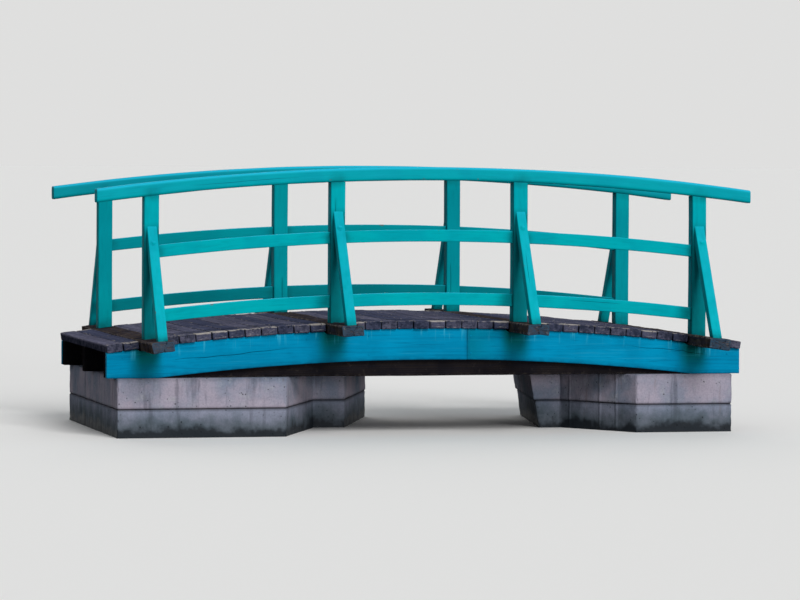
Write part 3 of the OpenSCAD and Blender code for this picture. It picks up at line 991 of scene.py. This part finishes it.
def board_reach(k, side):
    """How far board k's end stands out; the unevenness repeats that of the solids."""
    a, b = math.radians(k * 137 + side * 61), math.radians(k * 71 - side * 23)
    return FASCIA_FACE + 0.018 + 0.007 * math.sin(a) * math.cos(b)


def nail_spots(k):
    """Two nails through board k into each bearer, a little out of line, as (y, u)."""
    rng = np.random.default_rng(700 + k)
    spots = [(y, u) for y in NAIL_LINES for u in (-BOARD_HALF * 0.52, BOARD_HALF * 0.52)]
    return np.array(spots) + rng.uniform(-1, 1, (6, 2)) * [0.012, 0.005]


def board_top(k, y, u):
    """Height of a board's worn top above its flat one: cupped across, hollowed along the walking line."""
    cup = sizes().cupping * ((u / BOARD_HALF) ** 2 - 1) * (1 if k % 3 else -0.5)
    hollow = -sizes().walk_wear * np.exp(-((y / 0.42) ** 2))
    return cup + hollow


def board(k, x):
    """One deck board lying across the bridge, with worn arrises and split, uneven ends."""
    seed = 200 + k
    rng = np.random.default_rng(seed)
    front, rear = -board_reach(k, -1), board_reach(k, 1)
    worn = np.random.default_rng(900 + k).random() ** 2
    # Most ends have checked, and some boards have split further in
    splits = []
    for end, length in ((front, rng.uniform(0.08, 0.3)), (rear, rng.uniform(0.08, 0.3))):
        if rng.random() < 0.62:
            begin = end - length if end < 0 else end - length * 0.9
            splits.append((1, rng.uniform(-0.5, 0.5), begin, begin + 1.9 * length, 0.012, 0.004))
    if rng.random() < 0.4:
        begin = rng.uniform(-0.5, 0.2)
        splits.append((1, rng.uniform(-0.5, 0.5), begin, begin + 0.4, 0.006, 0.003))
    if len(splits) > 1:
        places = np.linspace(-0.5, 0.5, len(splits))
        splits = [(q, p, *rest) for (q, _, *rest), p in zip(splits, rng.permutation(places))]
    flat_line = on_deck(x)
    settle, twist = rng.uniform(-0.0012, 0.0006), rng.uniform(-0.0008, 0.0008)
    skew = rng.uniform(-0.03, 0.03)
    tone = rng.uniform(0, 1)
    spots = nail_spots(k)

    def place(s, u, v):
        top = np.clip(v / (BOARD_T / 2), 0, 1)
        lifted = settle + twist * s + top * board_top(k, s, u)
        return flat_line(s + skew * u * (abs(s) > 0.8), u, v + BOARD_T / 2 + lifted)

    # Dark stains round the nails, with painted shade on the sides below the top and on the ends
    def dirt(co, s, u, v):
        away = np.hypot(s[:, None] - spots[:, 0], u[:, None] - spots[:, 1]).min(1)
        stain = fade(away, 0.028) * (v > 0) * 0.8
        sides = np.clip((BOARD_HALF - 0.001 - abs(u)) / 0.006, 0, 1)
        between = (1 - sides) * (v < BOARD_T / 2 - 0.008) * 0.9
        ends = np.clip((np.maximum(front - s, s - rear) + 0.006) / 0.004, 0, 1)
        return np.maximum(np.maximum(stain, between), ends * (0.85 - 0.45 * worn))

    def rub(co, s, u, v):
        return np.exp(-(((abs(s) - 0.87) / 0.07) ** 2)) * (0.25 + 0.85 * worn) + 0.1

    return timber(
        place,
        front,
        rear,
        (BOARD_HALF, BOARD_T / 2),
        seed,
        splits,
        ease=sizes().board_arris,
        gap=0.014,
        step=0.04,
        ends_ease=0.004 + 0.007 * worn,
        uneven=0.0007,
        uneven_size=0.16,
        dish=0.0022,
        pith=(rng.uniform(-0.03, 0.03), rng.choice([-1, 1]) * rng.uniform(0.03, 0.08)),
        fields={"grime": dirt, "tone": tone, "rub": rub},
    )


def deck():
    """The boards of every node, each between two edges of the row."""
    edges = board_edges()
    for group, members in BOARDS.items():
        parts = [board(k, (edges[k] + edges[k + 1]) / 2) for k in members]
        dressed(f"deck_boards_{group}", parts, "deck_boards")


def crossbeam(i):
    """Rough crossbeam under a pair of posts, its ends checked and rounded by the weather."""
    seed = 300 + i
    rng = np.random.default_rng(seed)
    splits = []
    for end in (-1, 1):
        outer = end * CROSSBEAM_END
        for at in (rng.uniform(-0.6, -0.2), rng.uniform(0.2, 0.6)):
            length = rng.uniform(0.12, 0.28)
            at = float(np.clip(at + (0.12 if end > 0 else 0), -0.7, 0.7))
            splits.append((1, at, outer - length, outer - length + 2 * length, 0.012, 0.005))
    splits = splits[:1] + splits[3:] + [(3, 0.1, -CROSSBEAM_END - 0.3, -CROSSBEAM_END + 0.3, 0.012, 0.005)]
    splits.append((0, -0.1, -CROSSBEAM_END - 0.2, -CROSSBEAM_END + 0.25, 0.008, 0.004))
    flat_line = on_deck(POST_X[i])

    def place(s, u, v):
        return flat_line(s, u, v + (BOARD_T - CROSSBEAM_T / 2))

    # Painted shade on the underside and inside the fascias, and darker near the posts' feet
    def dirt(co, s, u, v):
        under = np.clip(-v / 0.03, 0, 1) * 0.25
        feet = fade(abs(abs(s) - RAILING_Y), 0.09) * 0.4
        inside = np.clip((FASCIA_FACE - abs(s)) / 0.02, 0, 1) * (v < 0) * 0.9
        return np.maximum(np.maximum(under, feet), inside)

    # Painted sky light: a slate blue on the sawn ends
    def bloom(co, s, u, v):
        return fade(CROSSBEAM_END - abs(s), 0.006) * 0.7

    part = timber(
        place,
        -CROSSBEAM_END,
        CROSSBEAM_END,
        (CROSSBEAM_HALF_W, CROSSBEAM_T / 2),
        seed,
        splits,
        ease=sizes().baulk_arris,
        gap=0.014,
        step=0.035,
        ends_ease=0.007,
        uneven=0.0022,
        uneven_size=0.12,
        dish=0.004,
        pith=(0.012, -0.006),
        fields={"grime": dirt, "tone": bloom},
    )
    dressed(f"crossbeam_{i + 1}", [part], "old_timber")


def bearer(i):
    """Cambered bearer: its top follows the arch, its underside is level, and crossbeams are let into it."""
    name, seed = f"bearer_{i + 1}", 330 + i
    lo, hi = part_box(name)
    rng = np.random.default_rng(seed)
    splits = random_splits(rng, [0, 2, 0, 2], 3, -1.9, 1.9, 0.010, width=1.3, shortest=0.12, longest=0.3)
    y = (lo.y + hi.y) / 2
    part = timber(
        along_arch(BED_RADIUS, y, BEARER_HALF_V, POST_X, lambda low: 0 * low + BED_Z),
        lo.x,
        hi.x,
        ((hi.y - lo.y) / 2, BEARER_HALF_V),
        seed,
        splits,
        ease=sizes().baulk_arris,
        gap=0.02,
        step=0.03,
        ends_ease=0.006,
        notches=POST_X,
        uneven=0.0014,
        uneven_size=0.25,
        dish=0.002,
        pith=(0.0, -0.05),
        # Painted shade: the bearers are nearly black all over
        fields={"grime": 0.88, "tone": 0.0},
    )
    dressed(name, [part], "old_timber")


def rounded_plan(corners, radius, gap):
    """Outline of a plan: points no more than gap apart along each edge, and a short parabola at each
    corner between the places this radius away from it. Gives the points, outward normals, whether they
    are on a corner, which edge they follow and how far along that edge they are, from 0 to 1."""
    corners = np.array(corners)
    after = np.roll(corners, -1, 0)
    edge = after - corners
    length = np.linalg.norm(edge, axis=1)
    way = edge / length[:, None]
    area = (corners[:, 0] * after[:, 1] - after[:, 0] * corners[:, 1]).sum()
    out = np.stack([way[:, 1], -way[:, 0]], 1) * math.copysign(1, area)
    rows = []
    for k in range(len(corners)):
        t = np.linspace(radius, length[k] - radius, math.ceil((length[k] - 2 * radius) / gap) + 1)[:, None]
        on_edge = [corners[k] + t * way[k], out[k] + 0 * t, 0 * t, k + 0 * t, t / length[k]]
        n = (k + 1) % len(corners)
        b = np.array([0.25, 0.5, 0.75])[:, None]
        start, end = corners[n] - radius * way[k], corners[n] + radius * way[n]
        curve = (1 - b) ** 2 * start + 2 * b * (1 - b) * corners[n] + b**2 * end
        turned = (1 - b) * out[k] + b * out[n]
        turned /= np.linalg.norm(turned, axis=1)[:, None]
        on_corner = [curve, turned, 1 + 0 * b, n + 0 * b, 0 * b]
        rows += [np.hstack(on_edge), np.hstack(on_corner)]
    rows = np.concatenate(rows)
    return rows[:, :2], rows[:, 2:4], rows[:, 4], rows[:, 5], rows[:, 6]


def abutment_plan(which):
    """Corners of an abutment: the inner face, the rear, the outer end, the front, the splayed wing and
    the recessed front, with the middle of the outer block."""
    side, skew, front, _ = ABUTMENTS[which]
    lo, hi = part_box(f"abutment_{which}_upper")
    # The inner face starts nearest to mid-span at the recessed front and turns to the right
    rear_x = hi.x if side < 0 else lo.x + (hi.y + front) * math.tan(skew)
    inner_x = rear_x - (hi.y + front) * math.tan(skew)
    outer_x = lo.x if side < 0 else hi.x
    nose_x = inner_x + side * NOSE
    wing_x = nose_x + side * SPLAY
    corners = [(inner_x, -front), (rear_x, hi.y), (outer_x, hi.y), (outer_x, lo.y), (wing_x, lo.y)]
    return [*corners, (nose_x, -front)], np.array([(wing_x + outer_x) / 2, 0.1])


def lift(which, level):
    """One lift of concrete: its plan is carried upwards and drawn in at the chamfers, while its inner
    face leans, and the arrises are chipped."""
    name = f"abutment_{which}_{level}"
    lo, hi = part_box(name)
    side, _, _, leans = ABUTMENTS[which]
    corners, middle = abutment_plan(which)
    height, seed = hi.z - lo.z, sum(map(ord, name))
    if level == "lower" and side > 0:
        # The lower lift starts a step back from the foot of the upper one
        corners = [(x + (leans["upper"] + STEP) * (k < 2), y) for k, (x, y) in enumerate(corners)]
    points, normals, corner, edge, along = rounded_plan(corners, radius=0.009, gap=0.015)
    near = np.array([0, 0.5, 1.0]) * CHAMFER
    rows = np.linspace(CHAMFER, height - CHAMFER, round(height / 0.011))[1:-1]
    run = np.concatenate([near, rows, height - near[::-1]])[:, None]
    to_end = height - run if level == "lower" else np.minimum(run, height - run)
    u, v = points[:, 0] - middle[0] + 0 * run, points[:, 1] - middle[1] + 0 * run
    nu, nv = normals[:, 0] + 0 * run, normals[:, 1] + 0 * run
    at = np.stack([run + lo.z + 0 * u, u, v], -1)
    swell = 0.0016 * waves(at, 0.20, seed) + 0.0007 * waves(at, 0.06, seed + 1)
    # Shuttering boards stood on end against the faces, each a little in or out of line. The sine of such
    # large steps is as good as a random number
    board_of = np.floor((points[:, 0] * normals[:, 1] - points[:, 1] * normals[:, 0] + 9) / SHUTTER)
    swell = swell + np.sin(board_of * 12.9898 + edge * 3 + seed) * 0.0012
    arris = np.maximum(corner, fade(to_end, 0.02))
    chips = np.clip(waves(at, 0.07, seed + 3) + 0.5 * waves(at, 0.03, seed + 4) - 0.6, 0, 1)
    swell = swell - 0.006 * chips * arris - np.clip(CHAMFER - to_end, 0, CHAMFER)
    # The inner face leans, and the short front and the long rear take up the difference
    inner = np.where(edge == 0, 1.0, np.where(edge == 1, 1 - along, np.where(edge == 5, along, 0)))
    lean = side * leans[level] * (1 - run / height) * inner
    grid = (run + 0 * u, u + nu * swell + lean, v + nv * swell, nu, nv, arris, 0 * u)

    def place(s, u, v):
        return middle[0] + u, middle[1] + v, lo.z + np.clip(s, 0, height)

    def marks(co, s, u, v):
        return (abs((co[:, 1] + 9) / SHUTTER % 1 - 0.5) > 0.46) * 1.0

    # A dark joint between the lifts, and painted shade along the top under the bearers
    def dirt(co, s, u, v):
        return np.maximum(fade(abs(co[:, 2] - CAST_JOINT), 0.012), fade(BED_Z - co[:, 2], 0.03) * 0.35)

    part = carried(place, grid, seed, fields={"grime": dirt, "board": marks})
    dressed(name, [part], "abutment_concrete", "cast")


def heads(spots, normals, radius, height, seed=0, washer=0.0):
    """Low domes on given points: each ring of a quarter ellipse turned about the normal, closed below."""
    spots, normals = np.array(spots, float), np.array(normals, float)
    normals /= np.linalg.norm(normals, axis=1)[:, None]
    side = np.cross(normals, [0.31, 0.87, 0.39])
    side /= np.linalg.norm(side, axis=1)[:, None]
    other = np.cross(normals, side)
    turn = np.linspace(0, 2 * math.pi, HEAD_POINTS + 1)[:-1]
    # Of each ring: its radius and its height, as shares of the head's
    rings = [(0.9, -1.2), (1.0, 0.0), (0.97, 0.35), (0.78, 0.72), (0.42, 0.95)]
    if washer:
        rim = [(washer * r, h) for r, h in ((0.98, -1.2), (1.0, 0.0), (1.0, 0.22), (0.95, 0.34))]
        rings = [*rim, (1.06, 0.34), *[(r, h * 0.9 + 0.34) for r, h in rings[1:]]]
    quads, tris = closed(len(rings), HEAD_POINTS)
    parts = []
    for p, n, a, b in zip(spots, normals, side, other):
        ring = [
            p + n * h * height + radius * r * (np.outer(np.cos(turn), a) + np.outer(np.sin(turn), b))
            for r, h in rings
        ]
        co = np.concatenate([*ring, [p - n * height * 1.2, p + n * height * (1.24 if washer else 1.0)]])
        values = dict.fromkeys(("arris", "crack", "grime", "tone", "run"), np.zeros(len(co)))
        parts.append({"co": co, "quads": quads, "tris": tris, "grain": co * 0.2 + seed, "values": values})
    return parts


def deck_nails():
    """Heads of the boards' wire nails, square to the deck and just proud of the worn tops."""
    edges = board_edges()
    spots, normals = [], []
    for k in sorted(k for members in BOARDS.values() for k in members):
        line = on_deck((edges[k] + edges[k + 1]) / 2)
        for y, u in nail_spots(k):
            spots.append(line(y, u, BOARD_T - 0.0012 + board_top(k, y, u)))
            normals.append(np.subtract(line(0, 0, 1.0), line(0, 0, 0.0)))
    piece("deck_nails", heads(spots, normals, sizes().nail_head / 2, 0.0016), "old_timber", "nails")


def painted_fixings():
    """Coach bolts at the tops of the braces, nails at their feet and along the fascias, painted over."""
    bolts, bolt_ways, nails, ways = [], [], [], []
    for side in SIDES.values():
        for i in range(4):
            line, length = brace_line(i, side)
            # One bolt through the head, one nail through the foot and one from each side of it
            for s, spots, directions in ((0.115, bolts, bolt_ways), (length - 0.05, nails, ways)):
                spots.append(line(s, 0.0, BRACE_HALF))
                directions.append((0, side * BRACE_TOP, BRACE_REACH))
            for way in (-1, 1):
                nails.append(np.add(line(length - 0.055, 0.0, 0.0), (way * BRACE_HALF, 0, 0)))
                ways.append((way, 0, 0))
    bolt_heads = heads(bolts, bolt_ways, sizes().bolt_head / 2, 0.006, seed=3, washer=1.45)
    piece("coach_bolts", bolt_heads, "railing_paint")
    piece("painted_nails", heads(nails, ways, 0.0045, 0.0012, seed=5), "railing_paint")
    spots, ways = [], []
    rng = np.random.default_rng(77)
    for side in SIDES.values():
        # Every 0.35 m or so, and on both sides of the joint
        for x in [*np.arange(-1.9, 0.2, 0.38), 0.215, 0.27, *np.arange(0.6, 1.95, 0.33)]:
            for down in (0.045, 0.15):
                z = arc_z(BED_RADIUS, x) - down + rng.uniform(-0.006, 0.006)
                if z < BED_Z + 0.015 or min(abs(x - p) for p in POST_X) < 0.09:
                    continue
                spots.append((x + rng.uniform(-0.006, 0.006), side * (FASCIA_FACE - 0.0015), z))
                ways.append((0, side, 0))
    piece("fascia_nails", heads(spots, ways, 0.0048, 0.0022, seed=7), "fascia_paint")


def lay_floor():
    """Wide matt floor, which lights the bridge in a darker tone than it shows."""
    mesh = bpy.data.meshes.new("floor")
    corners = [(x * FLOOR_REACH, y * FLOOR_REACH, 0) for x, y in ((-1, -1), (1, -1), (1, 1), (-1, 1))]
    mesh.from_pydata(corners, [], [range(4)])
    material, tree, shader = new_material("matt_studio_floor", 0.0)
    bounced = add(tree, "LightPath", out="Is Diffuse Ray")
    colour = coats(tree, colours().floor, (bounced, colours().floor_shade))
    tree.links.new(colour, shader.inputs["Base Color"])
    shader.inputs["Roughness"].default_value = 1.0
    mesh.materials.append(material)
    linked("floor", mesh)


def hang_lamps():
    """Sun lamps, each shining from its own direction."""
    for name, (way, strength, angle) in LAMPS.items():
        light = bpy.data.lights.new(name, "SUN")
        light.energy, light.angle = strength, math.radians(angle)
        turn(linked(name, light), way, "Z")


def light_world():
    """Soft skylight all round, which the camera and reflections see as the pale horizon."""
    world = bpy.data.worlds.new("studio")
    world.use_nodes = True
    tree = world.node_tree
    tree.nodes.clear()
    path = add(tree, "LightPath").node.outputs
    seen = summed(tree, *[(path[f"Is {kind} Ray"], 1.0) for kind in ("Camera", "Glossy", "Transmission")])
    soft = add(tree, "Background", {"Color": SKYLIGHT})
    pale = add(tree, "Background", {"Color": HORIZON})
    add(tree, "OutputWorld", {"Surface": add(tree, "MixShader", (seen, soft, pale))})
    bpy.context.scene.world = world


def stand_camera():
    """The photograph's camera: far off, low over the water and a little to the left."""
    camera = linked("camera", bpy.data.cameras.new("camera"))
    camera.data.lens = LENS
    camera.data.clip_end = 1000
    camera.location = CAMERA
    turn(camera, Vector(AIM) - camera.location, "-Z", ROLL)
    bpy.context.scene.camera = camera


class FOOTBRIDGE_OT_handrails(bpy.types.Operator):
    """Two arched handrails"""

    bl_idname = "footbridge.handrails"
    bl_label = "Handrails"

    def execute(self, context):
        for label, side in SIDES.items():
            handrail(side, label)
        return {"FINISHED"}


class FOOTBRIDGE_OT_rails(bpy.types.Operator):
    """Middle and bottom rails of both railings"""

    bl_idname = "footbridge.rails"
    bl_label = "Rails"

    def execute(self, context):
        for label, side in SIDES.items():
            for kind in RAILS:
                rails(side, kind, label)
        return {"FINISHED"}


class FOOTBRIDGE_OT_posts(bpy.types.Operator):
    """Eight square posts"""

    bl_idname = "footbridge.posts"
    bl_label = "Posts"

    def execute(self, context):
        for label, side in SIDES.items():
            for i in range(4):
                post(i, side, label)
        return {"FINISHED"}


class FOOTBRIDGE_OT_braces(bpy.types.Operator):
    """A raking brace on the outer face of every post"""

    bl_idname = "footbridge.braces"
    bl_label = "Braces"

    def execute(self, context):
        for label, side in SIDES.items():
            for i in range(4):
                brace(i, side, label)
        return {"FINISHED"}


class FOOTBRIDGE_OT_fascias(bpy.types.Operator):
    """Two lengths of fascia board on each side"""

    bl_idname = "footbridge.fascias"
    bl_label = "Fascias"

    def execute(self, context):
        for label, side in SIDES.items():
            for half in ("left", "right"):
                fascia(half, side, label)
        return {"FINISHED"}


class FOOTBRIDGE_OT_deck(bpy.types.Operator):
    """Thirty-four deck boards"""

    bl_idname = "footbridge.deck"
    bl_label = "Deck boards"

    def execute(self, context):
        deck()
        return {"FINISHED"}


class FOOTBRIDGE_OT_baulks(bpy.types.Operator):
    """Crossbeams and the bearers that they are let into"""

    bl_idname = "footbridge.baulks"
    bl_label = "Crossbeams and bearers"

    def execute(self, context):
        for i in range(4):
            crossbeam(i)
        for i in range(3):
            bearer(i)
        return {"FINISHED"}


class FOOTBRIDGE_OT_abutments(bpy.types.Operator):
    """Two concrete abutments, each cast in two lifts"""

    bl_idname = "footbridge.abutments"
    bl_label = "Abutments"

    def execute(self, context):
        for which in ABUTMENTS:
            for level in ("lower", "upper"):
                lift(which, level)
        return {"FINISHED"}


class FOOTBRIDGE_OT_fixings(bpy.types.Operator):
    """Nails of the deck, and the bolts and nails that are painted over"""

    bl_idname = "footbridge.fixings"
    bl_label = "Nails and bolts"

    def execute(self, context):
        deck_nails()
        painted_fixings()
        return {"FINISHED"}


class FOOTBRIDGE_OT_stage(bpy.types.Operator):
    """Pale floor, soft lamps and the camera"""

    bl_idname = "footbridge.stage"
    bl_label = "Stage"

    def execute(self, context):
        context.scene.view_settings.view_transform = "Standard"
        lay_floor()
        hang_lamps()
        light_world()
        stand_camera()
        return {"FINISHED"}


class FOOTBRIDGE_PT_panel(bpy.types.Panel):
    """Buttons that build the footbridge, with its sizes and colours"""

    bl_idname = "FOOTBRIDGE_PT_panel"
    bl_label = "Footbridge"
    bl_space_type = "VIEW_3D"
    bl_region_type = "UI"
    bl_category = "Footbridge"

    def draw(self, context):
        for operator in OPERATORS:
            self.layout.operator(operator.bl_idname)
        for group in (context.scene.footbridge_sizes, context.scene.footbridge_colours):
            for key in group.bl_rna.properties.keys():
                if key not in ("rna_type", "name"):
                    self.layout.prop(group, key)


OPERATORS = (
    FOOTBRIDGE_OT_stage,
    FOOTBRIDGE_OT_handrails,
    FOOTBRIDGE_OT_rails,
    FOOTBRIDGE_OT_posts,
    FOOTBRIDGE_OT_braces,
    FOOTBRIDGE_OT_fascias,
    FOOTBRIDGE_OT_deck,
    FOOTBRIDGE_OT_baulks,
    FOOTBRIDGE_OT_abutments,
    FOOTBRIDGE_OT_fixings,
)
GROUPS = (FOOTBRIDGE_PG_sizes, FOOTBRIDGE_PG_colours)


def register():
    for cls in (*GROUPS, *OPERATORS, FOOTBRIDGE_PT_panel):
        bpy.utils.register_class(cls)
    bpy.types.Scene.footbridge_sizes = bpy.props.PointerProperty(type=FOOTBRIDGE_PG_sizes)
    bpy.types.Scene.footbridge_colours = bpy.props.PointerProperty(type=FOOTBRIDGE_PG_colours)


def unregister():
    del bpy.types.Scene.footbridge_colours
    del bpy.types.Scene.footbridge_sizes
    for cls in reversed((*GROUPS, *OPERATORS, FOOTBRIDGE_PT_panel)):
        bpy.utils.unregister_class(cls)


def main():
    register()
    for operator in OPERATORS:
        group, name = operator.bl_idname.split(".")
        getattr(getattr(bpy.ops, group), name)()


if __name__ == "__main__":
    main()
